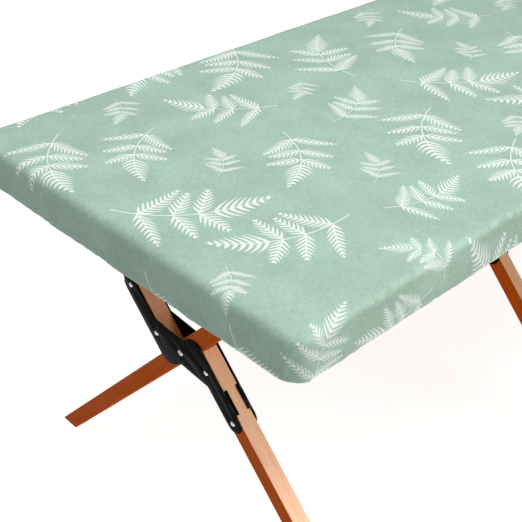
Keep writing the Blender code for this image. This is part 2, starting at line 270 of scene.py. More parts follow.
def colourMix(tree, share, first, second, blend="MIX"):
    node = tree.nodes.new("ShaderNodeMix")
    node.data_type = "RGBA"
    node.blend_type = blend
    plug(tree, share, node.inputs[0])
    for place, colour in ((6, first), (7, second)):
        plug(tree, (*colour, 1.0) if isinstance(colour, tuple) else colour, node.inputs[place])
    return node.outputs[2]


def mapOf(tree, name):
    node = tree.nodes.new("ShaderNodeUVMap")
    node.uv_map = name
    return node.outputs[0]


def objectPlace(tree):
    return tree.nodes.new("ShaderNodeTexCoord").outputs["Object"]


def parts(tree, vector):
    node = tree.nodes.new("ShaderNodeSeparateXYZ")
    tree.links.new(vector, node.inputs[0])
    return [Field(tree, out) for out in node.outputs]


def stretched(tree, vector, scale, turn=(0.0, 0.0, 0.0)):
    node = tree.nodes.new("ShaderNodeMapping")
    node.inputs["Rotation"].default_value = turn
    node.inputs["Scale"].default_value = scale
    tree.links.new(vector, node.inputs[0])
    return node.outputs[0]


def noiseField(tree, vector, scale, detail=2.0, rough=0.5, distortion=0.0):
    node = tree.nodes.new("ShaderNodeTexNoise")
    node.inputs["Scale"].default_value = scale
    node.inputs["Detail"].default_value = detail
    node.inputs["Roughness"].default_value = rough
    node.inputs["Distortion"].default_value = distortion
    tree.links.new(vector, node.inputs["Vector"])
    return Field(tree, node.outputs["Fac"])


def bumpFrom(tree, height, strength, distance, before=None):
    node = tree.nodes.new("ShaderNodeBump")
    node.inputs["Strength"].default_value = strength
    node.inputs["Distance"].default_value = distance
    plug(tree, height, node.inputs["Height"])
    if before is not None:
        tree.links.new(before, node.inputs["Normal"])
    return node.outputs[0]


def paint(tree, shader, colour, normal):
    tree.links.new(colour, shader.inputs["Base Color"])
    tree.links.new(normal, shader.inputs["Normal"])


def newGroup(name, inputs, outputs):
    # inputs gives each number's usual value, or None for a place; the outputs are numbers
    tree = bpy.data.node_groups.new(name, "ShaderNodeTree")
    for label, value in inputs.items():
        kind = "NodeSocketVector" if value is None else "NodeSocketFloat"
        socket = tree.interface.new_socket(label, in_out="INPUT", socket_type=kind)
        if value is not None:
            socket.default_value = value
    for label in outputs:
        tree.interface.new_socket(label, in_out="OUTPUT", socket_type="NodeSocketFloat")
    entry = tree.nodes.new("NodeGroupInput")
    leave = tree.nodes.new("NodeGroupOutput")
    return tree, entry, leave


def useGroup(tree, group, **values):
    node = tree.nodes.new("ShaderNodeGroup")
    node.node_tree = group
    for label, value in values.items():
        plug(tree, value, node.inputs[label])
    return {out.name: Field(tree, out) for out in node.outputs}


def makeWeave():
    # plain weave with slubs; Cut is in metres along the cloth
    tree, entry, leave = newGroup("linenWeave", {"Cut": None, "Pitch": 0.0008}, ["Height", "Slub"])
    cut = entry.outputs["Cut"]
    along, across = parts(tree, cut)[:2]
    turn = Field(tree, entry.outputs["Pitch"]).step("DIVIDE", math.pi)
    warp = (along / turn).step("SINE")
    weft = (across / turn).step("SINE")
    under = (warp * weft).over(0.0)
    height = under * abs(warp) + under.opposite() * abs(weft)
    lengthways = noiseField(tree, stretched(tree, cut, (110.0, 760.0, 1.0)), 1.0, 3.0, 0.62)
    crossways = noiseField(tree, stretched(tree, cut, (760.0, 110.0, 1.0)), 1.0, 3.0, 0.62)
    slub = lengthways * 0.35 + crossways * 0.35 + noiseField(tree, cut, 520.0, 3.0, 0.65) * 0.3
    plug(tree, height, leave.inputs["Height"])
    plug(tree, slub, leave.inputs["Slub"])
    return tree


def makeLeaflets():
    # one feather: a rib along +Along with pairs of slanting leaflets, pointed at their ends
    tree, entry, leave = newGroup("fernLeaflets", {
        "Along": 0.0, "Across": 0.0, "Length": 0.3, "Wide": 0.06, "Spacing": 0.04,
        "Slant": 0.8, "Curl": 1.0, "Taper": 0.5, "Fat": 0.3}, ["Ink"])
    get = {out.name: Field(tree, out) for out in entry.outputs if out.name}
    side = abs(get["Across"])
    root = (get["Along"] - side * get["Slant"] - side * side * get["Curl"]) / get["Spacing"]
    share = (root.step("FLOOR") + 0.5) * get["Spacing"] / get["Length"]
    inside = share.over(0.0) * share.under(1.0)
    left = share.opposite().largest(0.02)
    reach = get["Wide"] * (left ** get["Taper"]) * (share * 3.5 + 0.62).smallest(1.0)
    out = side / reach
    fat = get["Fat"] * (out ** 2.6).opposite()
    leaf = abs(root.step("FRACT") - 0.5).under(fat) * out.under(1.0) * inside
    ribEnd = get["Along"].over(0.0) * get["Along"].under(get["Length"])
    rib = side.under(left * 0.0045 + 0.0015) * ribEnd
    plug(tree, leaf.largest(rib), leave.inputs["Ink"])
    return tree


# where each pair of side feathers leaves the stem, and the turn and length of the two, as
# shares of the sprig's length: first on the hollow side of the stem, then on the bowed side
sprigShape = {
    "bow": 0.54,
    "pairs": (
        (0.155, (48.0, 0.430), (74.0, 0.365)),
        (0.370, (66.0, 0.300), (67.0, 0.300)),
        (0.530, (72.0, 0.310), (57.0, 0.300)),
    ),
    "sideWide": 0.082,
    "sideSpacing": 0.042,
    "tipStart": 0.612,
    "tipWide": 0.150,
    "tipSpacing": 0.049,
}


def makeSprig(leaflets):
    # the whole sprig; Place is (share of its length, share to the side)
    tree, entry, leave = newGroup("fernSprig", {"Place": None}, ["Ink"])
    along, aside = parts(tree, entry.outputs["Place"])[:2]
    straight = aside + along * along.opposite() * sprigShape["bow"]
    away = abs(straight)
    bowed = straight.under(0.0)
    ink = away.under(0.0048) * along.over(0.0) * along.under(sprigShape["tipStart"] + 0.05)
    for start, hollowSide, bowedSide in sprigShape["pairs"]:
        turns = [math.radians(turn) for turn in (hollowSide[0], bowedSide[0])]
        cosine = between(bowed, math.cos(turns[0]), math.cos(turns[1]))
        sine = between(bowed, math.sin(turns[0]), math.sin(turns[1]))
        length = between(bowed, hollowSide[1], bowedSide[1])
        past = along - start
        run = past * cosine + away * sine
        off = away * cosine - past * sine
        bend = run * (length - run) * 0.28
        made = useGroup(tree, leaflets, Along=run, Across=off + bend, Length=length,
                        Wide=sprigShape["sideWide"], Spacing=sprigShape["sideSpacing"],
                        Slant=0.85, Curl=3.5, Taper=0.60, Fat=0.30)
        ink = ink.largest(made["Ink"])
    tip = useGroup(tree, leaflets, Along=along - sprigShape["tipStart"], Across=straight,
                   Length=1.0 - sprigShape["tipStart"] + 0.02, Wide=sprigShape["tipWide"],
                   Spacing=sprigShape["tipSpacing"], Slant=0.35, Curl=4.5, Taper=0.85, Fat=0.29)
    plug(tree, ink.largest(tip["Ink"]), leave.inputs["Ink"])
    return tree


def makeGrain():
    # wood grain running along Z of the given place, in metres
    tree, entry, leave = newGroup("woodGrain", {"Place": None, "Rings": 90.0}, ["Grain", "Pores"])
    place = entry.outputs["Place"]
    broad = noiseField(tree, stretched(tree, place, (38.0, 38.0, 2.2)), 1.0, 3.0, 0.55, 0.6)
    rings = (broad * entry.outputs["Rings"]).step("SINE") * 0.5 + 0.5
    fine = noiseField(tree, stretched(tree, place, (420.0, 420.0, 9.0)), 1.0, 3.0, 0.6)
    plug(tree, rings * 0.45 + fine * 0.55, leave.inputs["Grain"])
    pores = noiseField(tree, stretched(tree, place, (900.0, 900.0, 26.0)), 1.0, 2.0, 0.5)
    plug(tree, pores.ramp(0.34, 0.5), leave.inputs["Pores"])
    return tree


def makeEdgeWear():
    # rubbed edges: 1 where a rounded edge shows and a cloudy pattern lets it
    tree, entry, leave = newGroup("edgeWear", {"Place": None, "Edge": 0.5, "Amount": 0.5}, ["Worn"])
    edge = Field(tree, entry.outputs["Edge"]).ramp(0.04, 0.30)
    cloud = noiseField(tree, entry.outputs["Place"], 90.0, 4.0, 0.6).ramp(0.42, 0.62)
    plug(tree, edge * cloud * entry.outputs["Amount"], leave.inputs["Worn"])
    return tree


groups = {}
groups["weave"] = makeWeave()
groups["leaflets"] = makeLeaflets()
groups["sprig"] = makeSprig(groups["leaflets"])
groups["grain"] = makeGrain()
groups["wear"] = makeEdgeWear()
print("shared effects made")


def edgeOf(tree, radius):
    # how far the surface turns within a small radius: 0 on flats, more at the edges
    around = tree.nodes.new("ShaderNodeBevel")
    around.samples = 6
    around.inputs["Radius"].default_value = radius
    cross = tree.nodes.new("ShaderNodeVectorMath")
    cross.operation = "DOT_PRODUCT"
    tree.links.new(around.outputs[0], cross.inputs[0])
    tree.links.new(tree.nodes.new("ShaderNodeNewGeometry").outputs["True Normal"], cross.inputs[1])
    return Field(tree, cross.outputs["Value"]).opposite()


clothLow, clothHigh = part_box("tablecloth")
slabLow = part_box("slat_08")[0]
cloth = {
    "step": 0.011,            # coarse grid, halved after draping
    "setIn": 0.0012,          # middle of the cloth inside the outer face
    "thick": 0.0011,
    "cornerRadius": 0.0216,
    "foldRadius": 0.0098,
    "cornerSteps": 6,
    "hemTurn": 0.0017,        # radius of the turned hem
    "casing": 0.0100,         # height of the inner ply
    "hang": 0.0070,           # the hem hangs this far below the model's
    "bulge": (0.0040, 0.0020),  # the skirts stand out at the ends and the long sides
    "draw": 0.0012,           # the elastic draws the hem in
    "frames": 26,
    "mostMove": 0.0025,       # no point settles further than this
    "mostSink": 0.0002,       # or further inwards than this
}
middleY = (clothLow.y + clothHigh.y) / 2.0
cloth["halfLong"] = clothHigh.x - cloth["setIn"] - cloth["cornerRadius"]
cloth["halfWide"] = clothHigh.y - middleY - cloth["setIn"] - cloth["cornerRadius"]
cloth["top"] = clothHigh.z - cloth["setIn"]
cloth["drop"] = cloth["top"] - clothLow.z - 0.0008 + cloth["hang"]
cloth["slabDrop"] = cloth["top"] - slabLow.z
cloth["nearFold"] = cloth["halfWide"] + cloth["cornerRadius"] - cloth["foldRadius"] * 0.30

clothLook = {
    "deep": (0.312, 0.462, 0.384),
    "pale": (0.425, 0.605, 0.512),
    # a paler green painted along the near fold as a highlight where the fold catches the light
    "paintedFoldHighlight": (0.500, 0.690, 0.580),
    "ink": (0.84, 0.90, 0.87),
    "back": (0.72, 0.78, 0.72),
    "pitch": 0.0009,
    "roughness": 0.88,
    "sheen": 0.20,
}


def clothFinish():
    material, tree, shader = newMaterial("printedLinen", clothLook["roughness"])
    cut = mapOf(tree, "clothCut")
    weave = useGroup(tree, groups["weave"], Cut=cut, Pitch=clothLook["pitch"])
    ground = colourMix(tree, weave["Slub"].ramp(0.38, 0.62), clothLook["deep"], clothLook["pale"])
    cloud = noiseField(tree, cut, 13.0, 4.0, 0.6).ramp(0.3, 0.7, 0.92, 1.07)
    ground = colourMix(tree, 1.0, ground, cloud.socket, "MULTIPLY")
    across = parts(tree, cut)[1]
    wander = noiseField(tree, stretched(tree, cut, (30.0, 8.0, 1.0)), 1.0, 3.0, 0.6)
    # a paler band along the near fold, broken up by noise: painted highlight where the fold catches the
    # light
    paintedFoldHighlight = abs(across + cloth["nearFold"] + (wander - 0.5) * 0.012).ramp(0.0, 0.0060, 1.0, 0.0)
    highlightBreakup = noiseField(tree, stretched(tree, cut, (75.0, 40.0, 1.0), (0.0, 0.0, 0.7)), 1.0, 3.0, 0.6)
    ground = colourMix(tree, paintedFoldHighlight * highlightBreakup.ramp(0.30, 0.62) * 0.6, ground, clothLook["paintedFoldHighlight"])
    sprig = useGroup(tree, groups["sprig"], Place=mapOf(tree, "frondMap"))["Ink"]
    cover = sprig * weave["Slub"].ramp(0.30, 0.55, 0.80, 0.97)
    shader.inputs["Sheen Weight"].default_value = clothLook["sheen"]
    shader.inputs["Sheen Roughness"].default_value = 0.45
    soft = noiseField(tree, stretched(tree, cut, (46.0, 60.0, 1.0)), 1.0, 3.0, 0.55, 0.8)
    normal = bumpFrom(tree, soft, 0.35, 0.0022)
    normal = bumpFrom(tree, weave["Slub"], 0.5, 0.0006, normal)
    normal = bumpFrom(tree, weave["Height"], 0.35, 0.00022, normal)
    paint(tree, shader, colourMix(tree, cover, ground, clothLook["ink"]), normal)
    return material


def clothBackFinish():
    material, tree, shader = newMaterial("linenBack", 0.9)
    cut = mapOf(tree, "clothCut")
    weave = useGroup(tree, groups["weave"], Cut=cut, Pitch=clothLook["pitch"])
    pale = clothLook["back"]
    deep = tuple(value * 0.86 for value in pale)
    colour = colourMix(tree, weave["Slub"].ramp(0.36, 0.66), deep, pale)
    paint(tree, shader, colour, bumpFrom(tree, weave["Height"], 0.4, 0.0003))
    return material


def threadFinish(name, colour):
    material, tree, shader = newMaterial(name, 0.7)
    twist = noiseField(tree, stretched(tree, objectPlace(tree), (2600.0, 2600.0, 2600.0)), 1.0, 2.0)
    dark = tuple(value * 0.7 for value in colour)
    mixed = colourMix(tree, twist.ramp(0.35, 0.6), dark, colour)
    paint(tree, shader, mixed, bumpFrom(tree, twist, 0.5, 0.0002))
    return material


legLook = {
    "side": (0.620, 0.106, 0.004),
    "sideDark": (0.510, 0.082, 0.004),
    # the two upper colours below are a paler painted highlight for faces that look upwards, standing in for
    # light falling on their tops; the side colours are the wood's own
    "upper": (0.985, 0.650, 0.450),
    "paintedLitUpperDark": (0.950, 0.570, 0.370),
    "worn": (0.93, 0.60, 0.36),
    "roughness": (0.46, 0.60),
    "lean": math.radians(43.0),     # bars are turned by this from upright
}


def woodFinish(name, turn, look):
    material, tree, shader = newMaterial(name, 0.4)
    place = stretched(tree, objectPlace(tree), (1.0, 1.0, 1.0), turn)
    wood = useGroup(tree, groups["grain"], Place=place, Rings=look.get("rings", 46.0))
    # faces that look upwards get the paler upper colours: painted light from above, mixed in by which way
    # the surface faces
    facing = tree.nodes.new("ShaderNodeTexCoord").outputs["Normal"]
    up = parts(tree, facing)[2].ramp(0.30, 0.62)
    side = colourMix(tree, wood["Grain"], look["sideDark"], look["side"])
    upper = colourMix(tree, wood["Grain"], look["paintedLitUpperDark"], look["upper"])
    colour = colourMix(tree, up, side, upper)
    pores = wood["Pores"].ramp(0.0, 1.0, 0.82, 1.0).opposite()
    colour = colourMix(tree, pores, colour, look["sideDark"])
    wear = useGroup(tree, groups["wear"], Place=objectPlace(tree), Edge=edgeOf(tree, 0.0012), Amount=0.4)
    low, high = look["roughness"]
    tree.links.new(wood["Grain"].ramp(0.2, 0.8, high, low).socket, shader.inputs["Roughness"])
    shader.inputs["Specular IOR Level"].default_value = 0.03
    normal = bumpFrom(tree, wood["Grain"], 0.25, 0.0004)
    normal = bumpFrom(tree, wood["Pores"], 0.3, 0.0002, normal)
    paint(tree, shader, colourMix(tree, wear["Worn"], colour, look["worn"]), normal)
    return material


slatLook = {
    "side": (0.560, 0.270, 0.105),
    "sideDark": (0.360, 0.150, 0.052),
    # the two upper colours below are a paler painted highlight for faces that look upwards, standing in for
    # light falling on their tops
    "upper": (0.640, 0.330, 0.140),
    "paintedLitUpperDark": (0.440, 0.200, 0.075),
    "worn": (0.75, 0.50, 0.28),
    "roughness": (0.42, 0.62),
    "rings": 60.0,
}


plateLook = {
    "coat": (0.002, 0.002, 0.0025),
    "dust": (0.012, 0.012, 0.014),
    "worn": (0.34, 0.34, 0.36),
    "roughness": (0.30, 0.45),
}


def plateFinish():
    material, tree, shader = newMaterial("blackPowderCoat", 0.42, 0.0)
    place = objectPlace(tree)
    peel = noiseField(tree, place, 620.0, 2.0)
    dust = noiseField(tree, place, 42.0, 4.0, 0.65).ramp(0.5, 0.78)
    worn = useGroup(tree, groups["wear"], Place=place, Edge=edgeOf(tree, 0.0008), Amount=0.7)["Worn"]
    colour = colourMix(tree, dust * 0.35, plateLook["coat"], plateLook["dust"])
    tree.links.new((worn * 0.8).socket, shader.inputs["Metallic"])
    tree.links.new(dust.ramp(0.0, 1.0, *plateLook["roughness"]).socket, shader.inputs["Roughness"])
    shader.inputs["Specular IOR Level"].default_value = 0.03
    colour = colourMix(tree, worn, colour, plateLook["worn"])
    paint(tree, shader, colour, bumpFrom(tree, peel, 0.22, 0.0002))
    return material


def metalFinish(name, colour, dull):
    material, tree, shader = newMaterial(name, 0.3, 1.0)
    place = objectPlace(tree)
    brushed = noiseField(tree, stretched(tree, place, (240.0, 1500.0, 1500.0)), 1.0, 3.0)
    spots = noiseField(tree, place, 700.0, 4.0, 0.7).ramp(0.52, 0.66)
    tree.links.new((brushed * 0.22 + spots * 0.25 + 0.16).socket, shader.inputs["Roughness"])
    paint(tree, shader, colourMix(tree, spots * 0.6, colour, dull), bumpFrom(tree, brushed, 0.15, 0.0002))
    return material


def webbingFinish(dark, pale):
    material, tree, shader = newMaterial("blackWebbing", 0.8)
    along, across = parts(tree, objectPlace(tree))[:2]
    twill = (along * 2400.0 + across * 1700.0).step("SINE") * 0.5 + 0.5
    paint(tree, shader, colourMix(tree, twill, dark, pale), bumpFrom(tree, twill, 0.6, 0.0004))
    return material


def elasticFinish(dark, pale):
    material, tree, shader = newMaterial("knittedElastic", 0.75)
    cells = noiseField(tree, stretched(tree, objectPlace(tree), (900.0, 900.0, 260.0)), 1.0, 2.0)
    mixed = colourMix(tree, cells.ramp(0.3, 0.7), dark, pale)
    paint(tree, shader, mixed, bumpFrom(tree, cells, 0.6, 0.0004))
    return material


trimLook = {
    "thread": (0.42, 0.60, 0.49),
    "webbing": ((0.012, 0.012, 0.013), (0.055, 0.055, 0.058)),
    "elastic": ((0.60, 0.60, 0.56), (0.84, 0.84, 0.80)),
    "rivet": ((0.80, 0.80, 0.78), (0.42, 0.41, 0.39)),
    "bolt": ((0.70, 0.70, 0.69), (0.36, 0.35, 0.33)),
}

finish = {
    "cloth": clothFinish(),
    "clothBack": clothBackFinish(),
    "thread": threadFinish("greenThread", trimLook["thread"]),
    "leaning": woodFinish("legWoodFar", (legLook["lean"], 0.0, 0.0), legLook),
    "crossing": woodFinish("legWoodNear", (-legLook["lean"], 0.0, 0.0), legLook),
    "rail": woodFinish("railWood", (0.0, math.radians(90.0), 0.0), legLook),
    "slat": woodFinish("slatWood", (math.radians(90.0), 0.0, 0.0), slatLook),
    "plate": plateFinish(),
    "rivet": metalFinish("rivetSteel", *trimLook["rivet"]),
    "bolt": metalFinish("boltSteel", *trimLook["bolt"]),
    "webbing": webbingFinish(*trimLook["webbing"]),
    "elastic": elasticFinish(*trimLook["elastic"]),
}
print("finishes made")


def clothStations():
    # (distance along the cut past the inner rectangle, outwards, downwards) of each ring
    rings = []
    flatRun = cloth["cornerRadius"] - cloth["foldRadius"]
    for step in (1, 2):
        rings.append((flatRun * step / 2, flatRun * step / 2, 0.0))
    for step in range(1, 5):
        turn = math.pi / 2 * step / 4
        rings.append((flatRun + cloth["foldRadius"] * turn, flatRun + cloth["foldRadius"] * math.sin(turn),
                      cloth["foldRadius"] * (1.0 - math.cos(turn))))
    start, out, down = rings[-1]
    straight = cloth["drop"] - cloth["hemTurn"] - down
    for step in range(1, 6):
        rings.append((start + straight * step / 5, out, down + straight * step / 5))
    start, out, down = rings[-1]
    for step in range(1, 5):
        turn = math.pi * step / 4
        rings.append((start + cloth["hemTurn"] * turn, out - cloth["hemTurn"] * (1.0 - math.cos(turn)),
                      down + cloth["hemTurn"] * math.sin(turn)))
    start, out, down = rings[-1]
    for step in (1, 2):
        rings.append((start + cloth["casing"] * step / 2, out, down - cloth["casing"] * step / 2))
    return rings


def clothEdge():
    # the inner rectangle's rim, counterclockwise: (grid column, grid row, outward x, outward y)
    columns = round(2 * cloth["halfLong"] / cloth["step"])
    rows = round(2 * cloth["halfWide"] / cloth["step"])
    rim = []
    sides = (
        ([(i, 0) for i in range(columns)], -90.0),
        ([(columns, j) for j in range(rows)], 0.0),
        ([(i, rows) for i in range(columns, 0, -1)], 90.0),
        ([(0, j) for j in range(rows, 0, -1)], 180.0),
    )
    for cells, facing in sides:
        for step in range(cloth["cornerSteps"]):
            turn = math.radians(facing - 90.0 + 90.0 * step / cloth["cornerSteps"])
            rim.append((*cells[0], math.cos(turn), math.sin(turn)))
        turn = math.radians(facing)
        for cell in cells:
            rim.append((*cell, math.cos(turn), math.sin(turn)))
    return columns, rows, rim


def clothPoint(baseX, baseY, outX, outY, out, down):
    share = min(1.0, down / 0.030)
    stand = cloth["bulge"][0] * outX * outX + cloth["bulge"][1] * outY * outY
    below = max(0.0, (down - cloth["slabDrop"]) / (cloth["drop"] - cloth["slabDrop"]))
    reach = out + stand * share * share * (3.0 - 2.0 * share) - cloth["draw"] * below * below
    return (baseX + outX * reach, middleY + baseY + outY * reach, cloth["top"] - down)


def clothCut():
    # the flat cut laid over the slab, with its own flat coordinates in the map clothCut
    columns, rows, rim = clothEdge()
    bm = bmesh.new()
    flat = {}
    grid = {}
    for i in range(columns + 1):
        for j in range(rows + 1):
            x = -cloth["halfLong"] + 2 * cloth["halfLong"] * i / columns
            y = -cloth["halfWide"] + 2 * cloth["halfWide"] * j / rows
            vert = bm.verts.new((x, middleY + y, cloth["top"]))
            grid[i, j] = vert
            flat[vert] = (x, y)
    for i in range(columns):
        for j in range(rows):
            bm.faces.new((grid[i, j], grid[i + 1, j], grid[i + 1, j + 1], grid[i, j + 1]))
    before = [grid[i, j] for i, j, outX, outY in rim]
    pinned = []
    stations = clothStations()
    for distance, out, down in stations:
        ring = []
        for i, j, outX, outY in rim:
            baseX, baseY = flat[grid[i, j]]
            vert = bm.verts.new(clothPoint(baseX, baseY, outX, outY, out, down))
            flat[vert] = (baseX + outX * distance, baseY + outY * distance)
            ring.append(vert)
        bridge(bm, before, ring)
        if distance >= stations[-6][0] - 1e-9:
            pinned.extend(ring)
        before = ring
    cutMap = bm.loops.layers.uv.new("clothCut")
    for face in bm.faces:
        for loop in face.loops:
            loop[cutMap].uv = flat[loop.vert]
    bm.verts.index_update()
    held = [vert.index for vert in pinned]
    piece = meshPiece("tablecloth_sheet", bm, smooth=True)
    return piece, held


drape = {
    "gap": 0.0021,            # the former lies this far under the middle of the cloth
    "touch": 0.001,           # distance at which cloth and former meet
    "friction": 12.0,
    "settings": {
        "quality": 6,
        "mass": 0.18,
        "tension_stiffness": 25.0,
        "compression_stiffness": 18.0,
        "shear_stiffness": 9.0,
        "bending_stiffness": 0.35,
        "air_damping": 3.0,
        "vertex_group_mass": "held",
        "shrink_min": -0.003,     # the cloth is this share larger than its slab
    },
}


def evenlyOrdered(bm):
    # bevelling starts each face at any of its corners, and the cloth settles differently for it:
    # here every face starts at its lowest numbered point, and the faces stand in order
    bm.verts.index_update()
    faces = []
    for face in bm.faces:
        corners = [vert.index for vert in face.verts]
        first = corners.index(min(corners))
        faces.append(corners[first:] + corners[:first])
    ordered = bmesh.new()
    points = [ordered.verts.new(vert.co) for vert in bm.verts]
    for corners in sorted(faces):
        ordered.faces.new([points[corner] for corner in corners])
    bm.free()
    return ordered


def drapeOver(piece, held):
    # lets the cloth settle on the slab, its hem held by the elastic
    group = piece.vertex_groups.new(name="held")
    group.add(held, 1.0, "REPLACE")
    gap = drape["gap"]
    bm = bmesh.new()
    size = (2 * (clothHigh.x - cloth["setIn"] - gap), 2 * (clothHigh.y - middleY - cloth["setIn"] - gap),
            cloth["slabDrop"] - gap)
    placing = Matrix.Translation((0.0, middleY, cloth["top"] - gap - size[2] / 2.0))
    bmesh.ops.create_cube(bm, size=1.0, matrix=placing @ Matrix.Diagonal((*size, 1.0)))
    upright = [e for e in bm.edges if abs(e.verts[0].co.z - e.verts[1].co.z) > size[2] / 2.0]
    bmesh.ops.bevel(bm, geom=upright, offset=cloth["cornerRadius"] - gap, segments=8, profile=0.5,
                    affect="EDGES")
    rim = [e for e in bm.edges if all(v.co.z > cloth["top"] - gap - 1e-5 for v in e.verts)]
    bmesh.ops.bevel(bm, geom=rim, offset=cloth["foldRadius"] - gap, segments=5, profile=0.5, affect="EDGES")
    former = meshPiece("slabFormer", evenlyOrdered(bm))
    former.modifiers.new("collide", "COLLISION")
    former.collision.thickness_outer = drape["touch"]
    former.collision.cloth_friction = drape["friction"]
    settling = piece.modifiers.new("drape", "CLOTH")
    for name, value in drape["settings"].items():
        setattr(settling.settings, name, value)
    settling.collision_settings.distance_min = drape["touch"]
    settling.collision_settings.collision_quality = 2
    settling.point_cache.frame_start = 1
    settling.point_cache.frame_end = cloth["frames"]
    rest = placesOf(piece.data)
    scene = bpy.context.scene
    for number in range(1, cloth["frames"] + 1):
        scene.frame_set(number)
    evaluated = piece.evaluated_get(bpy.context.evaluated_depsgraph_get())
    moved = placesOf(evaluated.data) - rest
    length = np.linalg.norm(moved, axis=1, keepdims=True)
    moved *= np.minimum(1.0, cloth["mostMove"] / np.maximum(length, 1e-9))
    # nothing sinks into the slats
    normals = normalsOf(piece.data)
    sunk = np.minimum((moved * normals).sum(1, keepdims=True) + cloth["mostSink"], 0.0)
    moved -= normals * sunk
    print("cloth settled: most", round(float(length.max()) * 1000, 2), "mm, mean",
          round(float(length.mean()) * 1000, 2), "mm")
    piece.modifiers.remove(settling)
    scene.frame_set(1)
    movePlaces(piece.data, rest + moved)
    bpy.data.objects.remove(former)


def applied(piece):
    # the mesh with its modifiers, as a plain mesh
    graph = bpy.context.evaluated_depsgraph_get()
    mesh = bpy.data.meshes.new_from_object(piece.evaluated_get(graph), preserve_all_data_layers=True,
                                           depsgraph=graph)
    old = piece.data
    piece.modifiers.clear()
    piece.data = mesh
    bpy.data.meshes.remove(old)


def flatPlaces(mesh):
    # each point's place on the flat cut
    flat = np.zeros((len(mesh.vertices), 2))
    users = valuesOf(mesh.loops, "vertex_index", 1, np.int32)
    flat[users] = valuesOf(mesh.uv_layers["clothCut"].uv, "vector", 2)
    return flat


# height of each kind of crease, then its waves to the metre along the hem and down the cloth
creases = {
    "top": (0.0006, 11.0, 14.0),
    "ridge": (0.0011, 24.0, 0.0),     # the near fold stands up from the slab's edge
    "skirt": (0.0011, 26.0, 22.0),    # soft waves of the skirt between fold and hem
    "slant": (0.0009, 70.0, 95.0),    # short slanting creases below the folds
    "pucker": (0.0007, 150.0, 18.0),  # small gathers over the elastic
}


def crease(kind, run, past, side):
    high, along, down = creases[kind]
    return high * noise.noise(Vector((run * along, past * down, side)))


def creaseCloth(mesh):
    flat = flatPlaces(mesh)
    normals = normalsOf(mesh)
    places = placesOf(mesh)
    ridgeHigh, ridgeWaves = creases["ridge"][:2]
    slantHigh, slantAlong, slantDown = creases["slant"]
    foldAt = cloth["cornerRadius"] - cloth["foldRadius"]
    straight = cloth["drop"] - cloth["hemTurn"] - cloth["foldRadius"]
    hemAt = foldAt + cloth["foldRadius"] * math.pi / 2 + straight
    for index in range(len(places)):
        u, v = flat[index]
        pastX = abs(u) - cloth["halfLong"]
        pastY = abs(v) - cloth["halfWide"]
        past = math.hypot(max(pastX, 0.0), max(pastY, 0.0))
        run = u if pastY > pastX else v + 3.0 * math.copysign(1.0, u)
        side = 5.0 if v > 0.0 else 9.0
        lift = crease("top", u, v, 2.0)
        fold = math.exp(-((past - foldAt - 0.006) / 0.0065) ** 2)
        skirt = min(1.0, max(0.0, (past - foldAt - 0.010) / 0.020))
        hem = min(1.0, max(0.0, (past - hemAt + 0.016) / 0.014))
        near = 1.0 if v < 0.0 and pastY > pastX else 0.45
        lift += ridgeHigh * near * fold * (0.45 + noise.noise(Vector((run * ridgeWaves, side, 0.0))))
        lift += skirt * crease("skirt", run, past, side)
        slant = noise.noise(Vector((run * slantAlong + past * slantDown, past * 30.0, side)))
        lift += slantHigh * near * skirt * (1.0 - hem) * slant
        lift += hem * crease("pucker", run, past, side)
        if past > hemAt + math.pi * cloth["hemTurn"]:
            lift = -lift
        places[index] += normals[index] * lift
    movePlaces(mesh, places)


# Sprigs of the print on the flat cut: where the stem starts, where the tip is, whether it is
# turned over, and in which repeats of the pattern it stands. Metres, from the middle of the top.
printPlan = {
    "repeat": (0.498, 0.012),
    "repeats": (-1, 0, 1, 2),
    "sprigs": (
        (-0.582, 0.018, -0.438, -0.079, False, "all"),
        (-0.403, -0.163, -0.550, -0.102, True, "all"),
        (-0.421, 0.144, -0.516, 0.044, False, "all"),
        (-0.315, 0.027, -0.409, -0.077, True, "all"),
        (-0.519, 0.210, -0.589, 0.077, False, "first"),
        (-0.616, 0.070, -0.538, 0.213, True, "later"),
        (-0.408, 0.249, -0.454, 0.185, True, "all"),
        (-0.240, 0.301, -0.386, 0.240, False, "first"),
        (-0.401, 0.319, -0.546, 0.259, False, "first"),
        (-0.166, 0.291, -0.297, 0.178, True, "all"),
        (-0.265, 0.086, -0.362, 0.201, True, "all"),
        (-0.124, -0.055, -0.234, -0.168, False, "all"),
        (-0.449, -0.005, -0.407, 0.052, False, "all"),
        (-0.329, -0.135, -0.283, -0.081, False, "all"),
        (-0.564, -0.145, -0.613, -0.190, True, "all"),
        (-0.393, -0.304, -0.432, -0.228, False, "all"),
        (-0.368, -0.179, -0.250, -0.191, False, "all"),
        (-0.185, 0.126, -0.238, 0.084, True, "all"),
        (-0.247, 0.003, -0.146, 0.057, False, "all"),
        (-0.121, -0.183, -0.226, -0.294, False, "all"),
        (-0.413, -0.304, -0.527, -0.315, True, "all"),
        (-0.224, -0.372, -0.350, -0.277, True, "all"),
        (-0.040, 0.363, -0.142, 0.255, True, "later"),
    ),
    # the sprig round the near left corner: its foot, its run and its side on the unrolled corner
    "corner": ((0.017, 0.083), (0.043, -0.0785), (0.095, 0.061)),
    "none": (-4.0, -4.0),
}


def allSprigs():
    # (which unrolling, foot, middle, matrix into the sprig's own shares, length)
    placed = []
    for repeat in printPlan["repeats"]:
        shift = np.array(printPlan["repeat"]) * repeat
        for startX, startY, endX, endY, turned, where in printPlan["sprigs"]:
            if (where == "first") == (repeat > 0) and where != "all":
                continue
            start = np.array((startX, startY)) + shift
            along = np.array((endX, endY)) + shift - start
            length = float(np.linalg.norm(along))
            aside = np.array((-along[1], along[0])) * (-1.0 if turned else 1.0)
            placed.append((0, start, start + along / 2, np.stack((along, aside), 1) / length ** 2, length))
    foot, along, aside = (np.array(item) for item in printPlan["corner"])
    placed.append((1, foot, foot + along / 2, np.linalg.inv(np.stack((along, aside))),
                   float(np.linalg.norm(aside))))
    return placed


